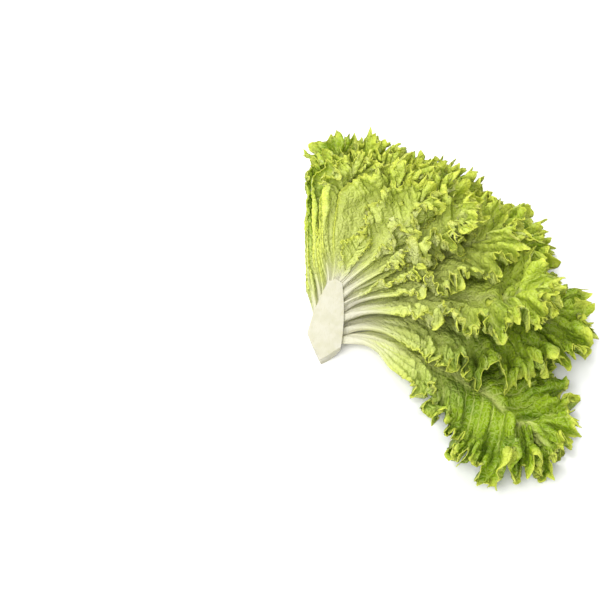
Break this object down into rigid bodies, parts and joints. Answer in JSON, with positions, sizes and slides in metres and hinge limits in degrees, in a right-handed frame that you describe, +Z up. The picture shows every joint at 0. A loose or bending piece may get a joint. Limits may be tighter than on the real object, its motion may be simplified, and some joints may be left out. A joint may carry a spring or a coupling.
{
  "type": "halved head of curly leaf lettuce",
  "caption": "Half a head of curly green leaf lettuce, cut lengthwise through the stem, lying on its round side with frilled leaves fanned out to the right.",
  "frame": {"origin": "centre of the bounding box in plan, on the surface that the half head lies on", "axes": "+X to the right and +Y away from someone who looks at the cut face from the stem's foot, +Z up"},
  "size_m": [0.2428, 0.3531, 0.0928],
  "materials": {
    "stem_flesh": "moist, smooth cut flesh, cream white",
    "leaf_green": "thin soft leaf, satin, yellow green with pale ribs"
  },
  "bodies": {
    "root": {"stem": "stem_flesh", "leaf_01": "leaf_green", "leaf_02": "leaf_green", "leaf_03": "leaf_green", "leaf_04": "leaf_green", "leaf_05": "leaf_green", "leaf_06": "leaf_green", "leaf_07": "leaf_green", "leaf_08": "leaf_green", "leaf_09": "leaf_green", "leaf_10": "leaf_green", "leaf_11": "leaf_green", "leaf_12": "leaf_green", "leaf_13": "leaf_green", "leaf_14": "leaf_green", "leaf_15": "leaf_green", "leaf_16": "leaf_green", "leaf_17": "leaf_green", "leaf_18": "leaf_green", "leaf_19": "leaf_green", "leaf_20": "leaf_green"}
  },
  "joints": []
}
